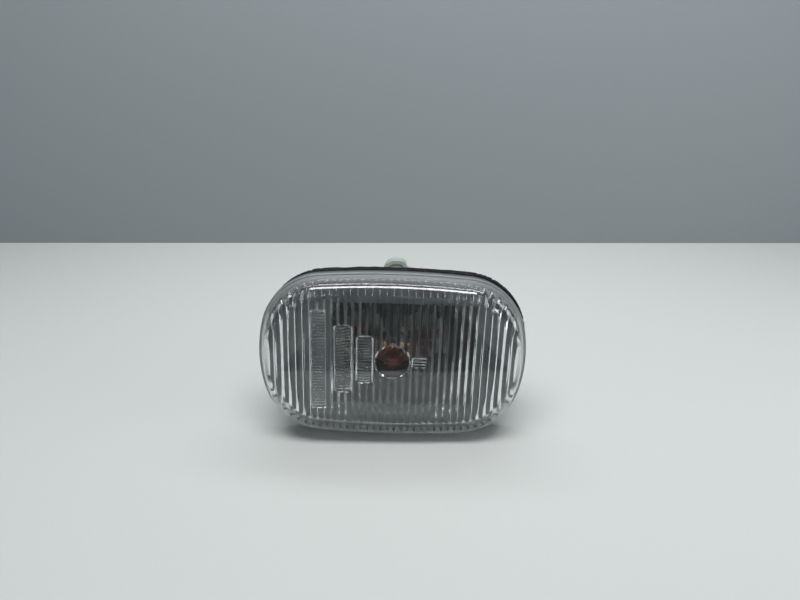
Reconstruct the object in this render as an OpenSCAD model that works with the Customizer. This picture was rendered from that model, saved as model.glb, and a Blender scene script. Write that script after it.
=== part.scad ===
// Side indicator lamp with a clear fluted lens, seen from the front along +Y.
// The lens faces -Y, +X is to the right and +Z is up.
// The origin is the centre of the panel seat, on the rear face of the foam gasket.

/* [Lens outline] */
// Width of the lens and of everything that follows its outline
lens_w = 78; // [72:0.5:86]
// Height of the lens
lens_h = 50.5; // [48:0.5:56]
// Radius of the long top and bottom edges
long_r = 250; // [200:5:400]
// Radius of the two short ends
end_r = 43; // [38:1:60]
// Radius of the four corners
corner_r = 18.6; // [14:0.2:20]

/* [Lens body] */
// Thickness of the rim that is welded to the housing
rim_t = 1.2; // [0.8:0.1:2]
// Width of the ledge left around the lens body
ledge_w = 0.5; // [0.3:0.1:1]
// Depth of the lens body in front of its rim
lens_depth = 5.4; // [4.4:0.1:8]
// Angle at which the side wall leans in, in degrees
wall_lean = 21.2; // [12:0.1:26]
// Radius of the shoulder between side wall and face
shoulder_r = 2.2; // [1.2:0.1:2.6]
// Size of the corner inside, between side wall and face
inner_corner = 1.4; // [0.8:0.1:2]
// Thickness of the side wall
side_wall = 1.8; // [1.4:0.1:2.4]
// Thickness of the face under the flutes
face_wall = 1.7; // [1.2:0.1:2.4]

/* [Flutes] */
// Distance from one flute to the next
flute_pitch = 2; // [1.6:0.1:3]
// Slope of each flute's flanks, in degrees
flank_angle = 37.5; // [30:0.5:42]
// Roundness of each flute's crest
flute_crest = 0.2; // [0.1:0.05:0.5]
// How far a bare pad stands above the flute crests
pad_rise = 0.2; // [0.1:0.05:0.5]
// Diameter of the round bare pad
round_pad_d = 10; // [6:0.5:14]

/* [Housing] */
// Thickness of the flange behind the lens
flange_t = 2.2; // [1.8:0.1:3.5]
// Width of the bulb cavity
cavity_w = 39; // [34:0.5:41]
// Height of the bulb cavity
cavity_h = 32; // [28:0.5:34]
// Sideways offset of the cavity from the lamp axis
cavity_x = 3; // [0:0.5:4]
// Radius of the cavity's corners
cavity_r = 1.5; // [1:0.1:3]
// Wall of the box around the cavity
box_wall = 1.8; // [1.4:0.1:2.4]
// Thickness of the back plate that carries the bulb holder
plate_t = 2.5; // [2:0.1:3.5]

/* [Gasket] */
// Thickness of the foam gasket before it is squeezed
gasket_t = 3; // [2:0.1:5]
// Sideways shift of the gasket on the flange
gasket_shift = 0.6; // [0:0.1:1]
// How far the gasket stands above its place
gasket_lift = 0.4; // [0:0.05:0.8]
// How far the gasket's edge stays inside the flange's
gasket_inset = 0.1; // [0:0.05:0.5]
// Gap between the gasket and what passes through it
gasket_gap = 0.6; // [0.3:0.1:1]

/* [Panel fixing] */
// Width of the sprung catch and of the fixed hook
catch_w = 14; // [8:1:20]
// Thickness of the sprung arm
arm_t = 1.6; // [1.2:0.1:2.2]
// Gap between the sprung arm and the box
arm_gap = 2.5; // [2:0.1:4]
// How far the catch and the hook reach behind the panel
catch_reach = 2.4; // [1.5:0.1:3]
// Gap left for the panel sheet behind the gasket
panel_gap = 2.2; // [2:0.1:3.2]

/* [Bulb holder] */
// Radius of the holder's barrel
barrel_r = 7.7; // [7:0.1:8]
// Running clearance of the barrel in the back plate
barrel_gap = 0.3; // [0.2:0.05:0.6]
// How far the barrel stands in front of the back plate
barrel_reach = 5; // [4.5:0.1:6]
// How far each bayonet lug stands out of the barrel
lug_h = 2; // [1.5:0.1:2.5]
// Width of a bayonet lug
lug_w = 3.6; // [2.5:0.1:4.5]
// Thickness of a bayonet lug
lug_t = 1.8; // [1.4:0.1:2.4]
// Radius of the holder's flange
collar_r = 11.5; // [11:0.1:13]
// Thickness of the holder's flange
collar_t = 2.5; // [2:0.1:3.5]
// Angle through which the holder turns to release
twist_angle = 40; // [35:1:45]
// Thickness of the rubber ring under the flange
seal_t = 1.5; // [1:0.1:2]

/* [Finger grip and connector] */
// Width of the finger grip
grip_w = 8.4; // [7:0.1:10]
// Height of each grip wing above the lamp axis
grip_h = 18.3; // [15:0.1:19]
// Thickness of the grip wings
grip_t = 5; // [4:0.1:6]
// Radius of a wing's leading corner
grip_round = 4.2; // [3:0.1:4.2]
// Radius of a wing's trailing corner
grip_corner = 2.6; // [1.5:0.1:3]
// Distance from the back plate to the rear of the grip
grip_back = 22.5; // [20:0.5:26]
// Inside width of the connector mouth
mouth_w = 10.4; // [9:0.1:12]
// Inside height of the connector mouth
mouth_h = 8.4; // [7:0.1:10]
// Wall of the connector mouth
mouth_wall = 1.2; // [1:0.1:1.6]
// Depth of the connector mouth
mouth_depth = 14; // [10:0.5:15]
// Width of a connector blade
blade_w = 2.8; // [2:0.1:4]
// Thickness of a connector blade
blade_t = 0.8; // [0.6:0.1:1]
// Distance between the two blades, centre to centre
blade_pitch = 6; // [5.5:0.1:7]
// How far the blades end inside the mouth
blade_inset = 4; // [3:0.1:6]

/* [Bulb] */
// Diameter of the bulb's glass
bulb_d = 10.3; // [9:0.1:10.6]
// Overall length of the bulb
bulb_len = 26.8; // [25:0.1:28]
// Gap between the bulb's nose and the lens pad in front of it
nose_gap = 2; // [1:0.1:4]
// Distance from the bulb's nose to its filament
filament_set = 7.5; // [6.5:0.1:9]
// Width of the flattened glass base
base_w = 9.4; // [8.5:0.1:9.6]
// Thickness of the flattened glass base
base_t = 2.1; // [1.8:0.1:2.3]
// Length of the flattened base inside the holder
base_len = 8.5; // [8:0.1:9]
// Wall of the glass
glass_t = 0.7; // [0.5:0.05:1]
// Radius of the bulb's lead wires
wire_r = 0.2; // [0.15:0.05:0.25]
// Length of the filament coil
filament_len = 4.4; // [3.5:0.1:5]
// Radius of the filament coil
filament_r = 0.3; // [0.2:0.05:0.4]

/* [Hidden] */
$fn = 64;

// A small overlap that keeps cuts clean
eps = 0.5;
// Clearance of parts that are only assembled, not moved
fit_gap = 0.1;

// Depth of one flute, from the valley between two flutes to the crest
flute_h = flute_fall(flute_pitch / 2);
// How far the hollow behind the face stays inside the outline
inner_in = ledge_w + side_wall + (lens_depth - inner_corner) * tan(wall_lean);
// Flutes that fit on each side of the middle
flute_n = floor((lens_w / 2 - inner_in) / flute_pitch);

// Stations along the lamp, from the panel seat forward to the lens pad
flange_y = -gasket_t;
weld_y = flange_y - flange_t;
face_y = weld_y - rim_t - lens_depth;
pad_y = face_y + face_wall + flute_h + pad_rise;

// Stations from the bulb's nose rearward to the back plate
bulb_tip = pad_y + nose_gap;
base_end = bulb_tip + bulb_len;
barrel_front = base_end - base_len;
cavity_back = barrel_front + barrel_reach;
plate_y = cavity_back + plate_t;

// Centre of the corner arc, where it touches the long arc and the end arc inside
long_c = lens_h / 2 - long_r;
end_c = lens_w / 2 - end_r;
long_d = long_r - corner_r;
end_d = end_r - corner_r;
span = sqrt(end_c * end_c + long_c * long_c);
along = (long_d * long_d - end_d * end_d + span * span) / (2 * span);
aside = sqrt(long_d * long_d - along * along);
corner_c = [
    along * end_c / span + aside * (-long_c) / span,
    long_c - along * long_c / span - aside * end_c / span
];
long_angle = atan2(corner_c[1] - long_c, corner_c[0]);
end_angle = atan2(corner_c[1], corner_c[0] - end_c);
// Pieces of each arc in one quarter of the outline
end_n = 5;
corner_n = 12;
long_n = 7;
quarter_n = end_n + corner_n + long_n;
ring_n = 4 * quarter_n;

// Bare pads that interrupt the flutes: each has x, z, width, height and corner radius
pads = [
    [-21.2, 0, 4.1, 30.3, 0.8],
    [-14.2, 0.5, 4.8, 20.7, 1.2],
    [-8, 0.5, 4.4, 14.6, 1.2],
    [7.8, 0, 4, 3, 0.6]
];

// Section of the lens outside: how far in from the outline, and how far forward
shoulder_steps = 5;
shoulder_z = rim_t + lens_depth - shoulder_r;
wall_end = shoulder_z + shoulder_r * sin(wall_lean);
shoulder_in = ledge_w + (wall_end - rim_t) * tan(wall_lean) + shoulder_r * cos(wall_lean);
outer_steps = concat(
    [[0, 0], [0, rim_t], [ledge_w, rim_t]],
    [
        for (i = [0:shoulder_steps])
            let(a = wall_lean + (90 - wall_lean) * i / shoulder_steps)
                [shoulder_in - shoulder_r * cos(a), shoulder_z + shoulder_r * sin(a)]
    ]
);
// Section of the hollow behind the face
inner_z = rim_t + lens_depth - face_wall;
inner_steps = [
    [ledge_w + side_wall, -eps],
    [ledge_w + side_wall, rim_t],
    [inner_in - inner_corner * 0.2, inner_z - inner_corner * 0.6],
    [inner_in + inner_corner * 0.3, inner_z]
];

// Holder stations, from the back plate rearward
seal_y = plate_y + fit_gap;
collar_y = seal_y + seal_t;
collar_end = collar_y + collar_t;
grip_end = plate_y + grip_back;
mouth_end = grip_end + 1;
mouth_floor = mouth_end - mouth_depth;
blade_end = mouth_end - blade_inset;
grip_front = grip_end - grip_t;
grip_border = 1.3;
grip_web = 1.5;
// Depth of the thumb rest on the front of a wing
rest_depth = 0.4;
wing_root = mouth_h / 2 + mouth_wall;
lug_r = barrel_r + lug_h;
seal_in = barrel_r + 0.4;
// Gap between a lug and the plate it hooks behind
lug_gap = 0.2;
// Places of the three bayonet lugs, as angles from +Z towards +X
lug_angles = [20, 140, 260];
notch_w = lug_w + 0.6;
// The tab that limits the twist runs between two stops on the back plate
tab_angle = 90;
tab_w = 3.2;
tab_h = 2.2;
stop_w = 2.4;
stop_angle = asin((tab_w + stop_w) / 2 / (collar_r + 1)) + 1.5;

// Socket for the flattened bulb base
socket_floor = barrel_front + base_len + 1;
socket_w = base_w + 1;
socket_h = base_t + 2.2;
finger_t = 0.4;
finger_w = 2.4;
finger_z = base_t / 2 + 2 * wire_r + 0.05;
wire_z = base_t / 2 + wire_r;

// Bulb stations
bulb_r = bulb_d / 2;
neck_y = barrel_front - 0.2;
neck_r = bulb_r - 1.9;
filament_y = bulb_tip + filament_set;
wire_x = filament_len / 2;

function heading(a) = [cos(a), sin(a)];

// Turns a child that is drawn in X and Y and rises in Z so that it faces forward from y
module facing(y) {
    translate([0, y, 0]) rotate([90, 0, 0]) children();
}

// The same, but rising rearward from y, with X and Z kept
module rearward(y) {
    translate([0, y, 0]) rotate([90, 0, 0]) mirror([0, 0, 1]) children();
}

// Places a child at an angle from +Z towards +X, pointing outward along Y of the drawing
module at_angle(a) {
    rotate([0, 0, -a]) children();
}

// A point of the first quarter of the outline, counted from the end to the middle of the top
function quarter_point(j, inset) =
    j <= end_n
        ? [end_c, 0] + (end_r - inset) * heading(end_angle * j / end_n)
        : j <= end_n + corner_n
            ? corner_c + (corner_r - inset) * heading(end_angle + (long_angle - end_angle) * (j - end_n) / corner_n)
            : [0, long_c] + (long_r - inset) * heading(long_angle + (90 - long_angle) * (j - end_n - corner_n) / long_n);

// The whole outline, moved in by an inset that is the same all the way round
function oval_ring(inset) = [
    for (k = [0:ring_n - 1])
        let(
            q = floor(k / quarter_n),
            j = k % quarter_n,
            p = quarter_point(q % 2 == 0 ? j : quarter_n - j, inset)
        )
            [(q == 0 || q == 3) ? p[0] : -p[0], q < 2 ? p[1] : -p[1]]
];

// A straight-sided plate of the outline
module oval_plate(inset, t) {
    linear_extrude(t) polygon(oval_ring(inset));
}

// A solid that follows the outline, with a section of steps, each an inset and a height
module oval_loft(steps) {
    last = len(steps) - 1;
    polyhedron(
        points = [for (s = steps, p = oval_ring(s[0])) [p[0], p[1], s[1]]],
        faces = concat(
            [[for (i = [0:ring_n - 1]) i]],
            [
                for (k = [0:last - 1], i = [0:ring_n - 1])
                    let(n = (i + 1) % ring_n)
                        [k * ring_n + i, (k + 1) * ring_n + i, (k + 1) * ring_n + n, k * ring_n + n]
            ],
            [[for (i = [ring_n - 1:-1:0]) last * ring_n + i]]
        )
    );
}

// Outline of a rectangle with round corners
function round_rect(w, h, r) = [
    for (q = [0:3], i = [0:5])
        let(
            a = 90 * q + 18 * i,
            sx = (q == 0 || q == 3) ? 1 : -1,
            sy = q < 2 ? 1 : -1
        )
            [sx * (w / 2 - r) + r * cos(a), sy * (h / 2 - r) + r * sin(a)]
];

module round_plate(w, h, r, t) {
    linear_extrude(t) polygon(round_rect(w, h, r));
}

// How far a flute falls off at a distance from its crest: round on top, with nearly flat flanks
function flute_fall(away) = sqrt(pow(flute_crest, 2) + pow(away * tan(flank_angle), 2)) - flute_crest;

// Flutes stand on the inside of the face and run from top to bottom
module flutes() {
    half = flute_pitch / 2;
    shares = [-1, -0.5, -0.2, -0.07, 0.07, 0.2, 0.5, 1];
    for (i = [-flute_n:flute_n])
        translate([i * flute_pitch, 0, inner_z])
            rotate([90, 0, 0])
                linear_extrude(lens_h, center = true)
                    polygon(concat(
                        [[half, eps], [-half, eps]],
                        [for (s = shares) [s * half, flute_fall(s * half) - flute_h]]
                    ));
}

// Smooth pads that interrupt the flutes, all of them bare
module bare_pads() {
    rise = flute_h + pad_rise;
    translate([0, 0, inner_z - rise]) cylinder(d = round_pad_d, h = rise + eps);
    for (p = pads)
        translate([p[0], p[1], inner_z - rise]) round_plate(p[2], p[3], p[4], rise + eps);
}

module lens() {
    color([0.86, 0.89, 0.9, 0.45])
        facing(weld_y)
            difference() {
                oval_loft(outer_steps);
                difference() {
                    oval_loft(inner_steps);
                    flutes();
                    bare_pads();
                }
            }
}

// The sprung arm on the left end of the box, with its catch behind the panel
module sprung_catch() {
    wall_x = cavity_x - cavity_w / 2 - box_wall;
    arm_x = wall_x - arm_gap - arm_t;
    front = panel_gap;
    translate([0, 0, -catch_w / 2])
        linear_extrude(catch_w)
            polygon([
                [wall_x + box_wall / 2, plate_y],
                [arm_x, plate_y],
                [arm_x, front + catch_reach * 2],
                [arm_x - catch_reach, front + catch_reach * 0.4],
                [arm_x - catch_reach, front],
                [arm_x + arm_t, front],
                [arm_x + arm_t, plate_y - arm_t * 2],
                [wall_x + box_wall / 2, plate_y - arm_t * 2]
            ]);
}

// The fixed hook on the right end of the box
module fixed_hook() {
    wall_x = cavity_x + cavity_w / 2 + box_wall;
    translate([0, 0, -catch_w / 2])
        linear_extrude(catch_w)
            polygon([
                [wall_x - box_wall / 2, panel_gap],
                [wall_x + catch_reach, panel_gap],
                [wall_x + catch_reach, panel_gap + catch_reach * 0.5],
                [wall_x, panel_gap + catch_reach * 2],
                [wall_x - box_wall / 2, panel_gap + catch_reach * 2]
            ]);
}

// The two stops on the back plate that the holder's tab turns between
module twist_stops() {
    for (a = [tab_angle - stop_angle, tab_angle + twist_angle + stop_angle])
        at_angle(a)
            translate([-stop_w / 2, collar_r + 0.5, -1])
                cube([stop_w, tab_h, collar_end - plate_y + 0.6]);
}

module housing() {
    hole_r = barrel_r + barrel_gap;
    color([0.2, 0.21, 0.22])
        difference() {
            union() {
                facing(flange_y) oval_plate(0, flange_t);
                translate([cavity_x, 0, 0])
                    rearward(flange_y - flange_t / 2)
                        round_plate(
                            cavity_w + 2 * box_wall,
                            cavity_h + 2 * box_wall,
                            cavity_r + box_wall,
                            plate_y - flange_y + flange_t / 2
                        );
                sprung_catch();
                fixed_hook();
                rearward(plate_y) twist_stops();
            }
            translate([cavity_x, 0, 0])
                rearward(weld_y - eps)
                    round_plate(cavity_w, cavity_h, cavity_r, cavity_back - weld_y + eps);
            rearward(cavity_back - eps) cylinder(r = hole_r, h = plate_t + 2 * eps);
            for (a = lug_angles)
                rearward(cavity_back - eps)
                    at_angle(a + twist_angle)
                        translate([-notch_w / 2, 0, 0])
                            cube([notch_w, lug_r + barrel_gap, plate_t + 2 * eps]);
        }
}

module gasket() {
    color([0.05, 0.05, 0.055])
        difference() {
            translate([gasket_shift, 0, gasket_lift])
                facing(0) oval_plate(gasket_inset, gasket_t);
            translate([cavity_x, 0, 0])
                rearward(flange_y - eps)
                    round_plate(
                        cavity_w + 2 * (box_wall + gasket_gap),
                        cavity_h + 2 * (box_wall + gasket_gap),
                        cavity_r + box_wall + gasket_gap,
                        gasket_t + 2 * eps
                    );
        }
}

// Points of a quarter arc at a corner, starting at an angle
function corner_arc(x, z, r, start) = [for (i = [0:6]) [x, z] + r * heading(start + 15 * i)];

// Outline of one wing above the lamp axis, moved in by an inset
function wing_outline(inset, low) =
    let(w = grip_w / 2 - inset, top = grip_h - inset, lead = grip_round - inset, trail = grip_corner - inset)
        concat(
            [[-w, low], [w, low]],
            corner_arc(w - trail, top - trail, trail, 0),
            corner_arc(-w + lead, top - lead, lead, 90)
        );

// One wing of the finger grip, with a shallow thumb rest in front and hollowed from the rear
module grip_wing() {
    inside_low = wing_root + grip_border;
    difference() {
        union() {
            linear_extrude(grip_t) polygon(wing_outline(0, 0));
            // Rib on the pushing side, which widens the root
            linear_extrude(grip_t)
                polygon([
                    [grip_w / 2 - eps, grip_h - grip_corner],
                    [grip_w / 2, grip_h - grip_corner],
                    [grip_w / 2 + grip_border, grip_h - grip_corner - grip_border],
                    [grip_w / 2 + grip_border, wing_root],
                    [grip_w / 2 - eps, wing_root]
                ]);
        }
        translate([0, 0, -eps]) linear_extrude(rest_depth + eps) polygon(wing_outline(grip_border, inside_low));
        translate([0, 0, grip_web])
            linear_extrude(grip_t - grip_web + eps) polygon(wing_outline(grip_border, inside_low));
    }
}

// Gusset that carries one wing from the holder's flange
module grip_gusset() {
    rib = 1.6;
    top = grip_h - 2 * grip_corner;
    rotate([90, 0, 90])
        translate([0, 0, -rib / 2])
            linear_extrude(rib)
                polygon([
                    [collar_end - eps, 0],
                    [grip_front + grip_web - fit_gap, 0],
                    [grip_front + grip_web - fit_gap, top],
                    [grip_front, top],
                    [collar_end - eps, wing_root + 2]
                ]);
}

module bulb_holder() {
    color([0.6, 0.65, 0.62])
        difference() {
            union() {
                rearward(barrel_front) cylinder(r = barrel_r, h = collar_y - barrel_front + eps);
                for (a = lug_angles)
                    rearward(cavity_back - lug_gap - lug_t)
                        intersection() {
                            cylinder(r = lug_r, h = lug_t);
                            at_angle(a) translate([-lug_w / 2, 0, -eps]) cube([lug_w, lug_r * 2, lug_t + 2 * eps]);
                        }
                rearward(collar_y) cylinder(r = collar_r, h = collar_t);
                rearward(collar_y)
                    at_angle(tab_angle)
                        translate([-tab_w / 2, collar_r - 1, 0]) cube([tab_w, tab_h + 1, collar_t]);
                rearward(collar_end - eps)
                    round_plate(mouth_w + 2 * mouth_wall, mouth_h + 2 * mouth_wall, 1.5, mouth_end - collar_end + eps);
                rearward(grip_front)
                    for (turn = [0, 180])
                        rotate([0, 0, turn]) grip_wing();
                grip_gusset();
                mirror([0, 0, 1]) grip_gusset();
            }
            rearward(mouth_floor) round_plate(mouth_w, mouth_h, 0.8, mouth_depth + eps);
            rearward(barrel_front - eps)
                translate([-socket_w / 2, -socket_h / 2, 0])
                    cube([socket_w, socket_h, socket_floor - barrel_front + eps]);
            for (side = [-1, 1])
                rearward(socket_floor - eps)
                    translate([side * blade_pitch / 2 - blade_t / 2 - fit_gap, -blade_w / 2 - fit_gap, 0])
                        cube([blade_t + 2 * fit_gap, blade_w + 2 * fit_gap, mouth_floor - socket_floor + 2 * eps]);
        }
}

module holder_seal() {
    color([0.07, 0.07, 0.07])
        rearward(seal_y)
            difference() {
                cylinder(r = collar_r - 0.4, h = seal_t);
                translate([0, 0, -eps]) cylinder(r = seal_in, h = seal_t + 2 * eps);
            }
}

// A stamped terminal: a fork that grips the bulb base, and a blade in the connector mouth
module contact(side) {
    fork_y = socket_floor - fit_gap - finger_t;
    fork_z = finger_z + finger_t;
    color([0.78, 0.68, 0.42])
        translate([side * blade_pitch / 2, 0, 0]) {
            translate([-blade_t / 2, fork_y, -blade_w / 2]) cube([blade_t, blade_end - fork_y, blade_w]);
            translate([-finger_w / 2, fork_y, -fork_z]) cube([finger_w, finger_t, 2 * fork_z]);
            for (z = [-fork_z, finger_z])
                translate([-finger_w / 2, barrel_front + 1, z])
                    cube([finger_w, fork_y + finger_t - barrel_front - 1, finger_t]);
        }
}

// Section of the bulb's glass, from its tip rearward, drawn inset by a wall
function bulb_section(inset) = concat(
    [
        for (i = [0:8])
            let(a = 11.25 * i)
                [(bulb_r - inset) * sin(a), bulb_r - (bulb_r - inset) * cos(a)]
    ],
    [
        [bulb_r - inset, neck_y - bulb_tip - 2.4],
        [neck_r - inset, neck_y - bulb_tip - inset],
        [0, neck_y - bulb_tip - inset]
    ]
);

module bulb_glass() {
    color([0.85, 0.42, 0.08, 0.6])
        difference() {
            union() {
                rearward(bulb_tip) rotate_extrude() polygon(bulb_section(0));
                translate([-base_w / 2, neck_y - 1.5, -base_t / 2])
                    cube([base_w, base_end - neck_y + 1.5, base_t]);
            }
            rearward(bulb_tip) rotate_extrude() polygon(bulb_section(glass_t));
            for (side = [-1, 1])
                translate([side * wire_x, 0, 0])
                    rearward(neck_y - 2.5) cylinder(r = wire_r + 0.03, h = base_end - neck_y + 4, $fn = 24);
        }
}

module bulb_filament() {
    reach = wire_x - wire_r - 0.02;
    color([0.45, 0.44, 0.42])
        translate([-reach, filament_y, 0])
            rotate([0, 90, 0]) cylinder(r = filament_r, h = 2 * reach, $fn = 24);
}

// A lead wire runs from the filament through the glass and folds over the base
module lead_wire(side) {
    fold_z = -side * (wire_z + 0.02);
    color([0.7, 0.71, 0.73])
        translate([side * wire_x, 0, 0]) {
            rearward(filament_y - 0.6) cylinder(r = wire_r, h = base_end - filament_y + 0.7, $fn = 24);
            translate([-wire_r, base_end + 0.02, min(0, fold_z) - wire_r])
                cube([2 * wire_r, 2 * wire_r, abs(fold_z) + 2 * wire_r]);
            translate([0, 0, fold_z])
                rearward(barrel_front + 1.6) cylinder(r = wire_r, h = base_len - 1.4, $fn = 24);
        }
}

lens();
housing();
gasket();
bulb_holder();
holder_seal();
contact(-1);  // contact_left
contact(1);  // contact_right
bulb_glass();
bulb_filament();
lead_wire(-1);  // lead_wire_left
lead_wire(1);  // lead_wire_right
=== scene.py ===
"""A side indicator lamp: clear fluted lens, foam gasket, moulded housing and a twist-out holder with an amber bulb.

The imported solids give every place. This script replaces the lens, gasket, bulb glass and filament by finer meshes of
the same form, gives each piece its finish, and stands the lamp on a pale floor under soft studio light.
"""

import logging
import math
from dataclasses import dataclass, field
from enum import Enum
from typing import Iterable, Sequence

import bmesh
import bpy
from mathutils import Matrix, Vector, noise


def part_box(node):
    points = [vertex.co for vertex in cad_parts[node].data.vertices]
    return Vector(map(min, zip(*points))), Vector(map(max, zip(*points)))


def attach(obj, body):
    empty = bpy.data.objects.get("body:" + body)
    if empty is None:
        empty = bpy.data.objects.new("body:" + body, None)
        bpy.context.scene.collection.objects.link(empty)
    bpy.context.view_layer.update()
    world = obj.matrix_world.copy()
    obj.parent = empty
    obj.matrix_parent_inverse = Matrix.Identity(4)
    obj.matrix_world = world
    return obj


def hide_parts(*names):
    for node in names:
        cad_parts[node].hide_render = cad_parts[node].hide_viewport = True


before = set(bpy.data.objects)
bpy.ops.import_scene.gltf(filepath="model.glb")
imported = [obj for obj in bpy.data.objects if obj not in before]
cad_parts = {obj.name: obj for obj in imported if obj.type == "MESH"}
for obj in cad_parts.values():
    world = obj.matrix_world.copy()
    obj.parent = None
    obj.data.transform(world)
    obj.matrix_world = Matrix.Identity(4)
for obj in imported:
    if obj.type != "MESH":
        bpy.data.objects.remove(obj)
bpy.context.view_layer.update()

log = logging.getLogger("lamp")

MM = 0.001
Point = tuple[float, float]
Grid = list[list[int]]


def linear(hex_colour: str) -> tuple[float, float, float, float]:
    """Turns an sRGB hex colour into the linear values that a shader takes.

    Args:
        hex_colour: A colour such as "#C7CBCA".

    Returns:
        Linear red, green and blue, with an alpha of 1.
    """
    parts = [int(hex_colour[i : i + 2], 16) / 255 for i in (1, 3, 5)]
    red, green, blue = (c / 12.92 if c <= 0.04045 else ((c + 0.055) / 1.055) ** 2.4 for c in parts)
    return red, green, blue, 1.0


def add_node(tree: bpy.types.NodeTree, kind: str, settings: dict | None = None, links: dict | None = None) -> bpy.types.Node:
    """Adds a node with its settings and its links.

    Args:
        tree: The node tree that takes the node.
        kind: The node's Blender type name.
        settings: Values by name. A name that is an input takes the value there, and any other is a property.
        links: The output sockets that feed its inputs, by input name or number.

    Returns:
        The new node.
    """
    node = tree.nodes.new(kind)
    for key, value in (settings or {}).items():
        if isinstance(key, str) and hasattr(node, key) and key not in node.inputs:
            setattr(node, key, value)
        else:
            node.inputs[key].default_value = value
    for key, socket in (links or {}).items():
        tree.links.new(socket, node.inputs[key])
    return node


def smoothstep(value: float, low: float, high: float) -> float:
    """Goes smoothly from 0 at low to 1 at high."""
    t = min(1.0, max(0.0, (value - low) / (high - low)))
    return t * t * (3 - 2 * t)


class Piece:
    """Collects points and faces in millimetres, and turns them into one smooth-shaded object."""

    def __init__(self, name: str) -> None:
        """Starts an empty piece.

        Args:
            name: The name of the object to make.
        """
        self.name = name
        self.points: list[tuple[float, float, float]] = []
        self.faces: list[Sequence[int]] = []

    def point(self, x: float, y: float, z: float) -> int:
        """Adds a point in millimetres and returns its number."""
        self.points.append((x * MM, y * MM, z * MM))
        return len(self.points) - 1

    def ring(self, points: Iterable[tuple[float, float, float]]) -> list[int]:
        """Adds a row of points and returns their numbers."""
        return [self.point(*p) for p in points]

    def bridge(self, first: Sequence[int], second: Sequence[int], closed: bool = True) -> None:
        """Joins two rows of as many points by a strip of faces.

        Args:
            first: Point numbers of one row.
            second: Point numbers of the other.
            closed: Whether the rows run round and close on themselves.
        """
        count = len(first)
        for i in range(count if closed else count - 1):
            j = (i + 1) % count
            self.faces.append((first[i], first[j], second[j], second[i]))

    def finish(self, material: bpy.types.Material, sharp_deg: float = 30.0) -> bpy.types.Object:
        """Makes the object, merges points that meet and turns its faces outward.

        Args:
            material: The finish of the whole piece.
            sharp_deg: Edges that turn more than this stay crisp.

        Returns:
            The new object, linked to the scene.
        """
        mesh = bpy.data.meshes.new(self.name)
        mesh.from_pydata(self.points, [], self.faces)
        work = bmesh.new()
        work.from_mesh(mesh)
        bmesh.ops.remove_doubles(work, verts=work.verts, dist=0.002 * MM)
        bmesh.ops.recalc_face_normals(work, faces=work.faces)
        for face in work.faces:
            face.smooth = True
        work.to_mesh(mesh)
        work.free()
        mesh.set_sharp_from_angle(angle=math.radians(sharp_deg))
        mesh.materials.append(material)
        made = bpy.data.objects.new(self.name, mesh)
        bpy.context.scene.collection.objects.link(made)
        return made


@dataclass(frozen=True)
class Finish:
    """A surface finish. Each kind of finish fills in the nodes of its own material."""

    name: str

    def material(self) -> bpy.types.Material:
        """Makes the Blender material.

        Returns:
            A material whose Principled shader is set by the finish.
        """
        made = bpy.data.materials.new(self.name)
        made.use_nodes = True
        made.node_tree.nodes.clear()
        shader = self.shader(made.node_tree)
        add_node(made.node_tree, "ShaderNodeOutputMaterial", links={"Surface": shader})
        return made

    def shader(self, tree: bpy.types.NodeTree) -> bpy.types.NodeSocket:
        """Adds the nodes of the finish and returns the shader's output."""
        raise NotImplementedError

    def place(self, tree: bpy.types.NodeTree) -> bpy.types.NodeSocket:
        """Adds the coordinates that every pattern reads, in metres on the piece itself."""
        return add_node(tree, "ShaderNodeTexCoord").outputs["Object"]

    def grain(self, tree: bpy.types.NodeTree, size_mm: float, detail: float = 2.0, rough: float = 0.5) -> bpy.types.Node:
        """Adds a noise whose blotches are about as wide as a real size.

        Args:
            tree: The node tree.
            size_mm: Width of one blotch in millimetres.
            detail: Octaves of finer noise in each blotch.
            rough: How strong the finer octaves are.

        Returns:
            The noise node.
        """
        settings = {"Scale": 1 / (size_mm * MM), "Detail": detail, "Roughness": rough}
        return add_node(tree, "ShaderNodeTexNoise", settings, {"Vector": self.place(tree)})


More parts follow.
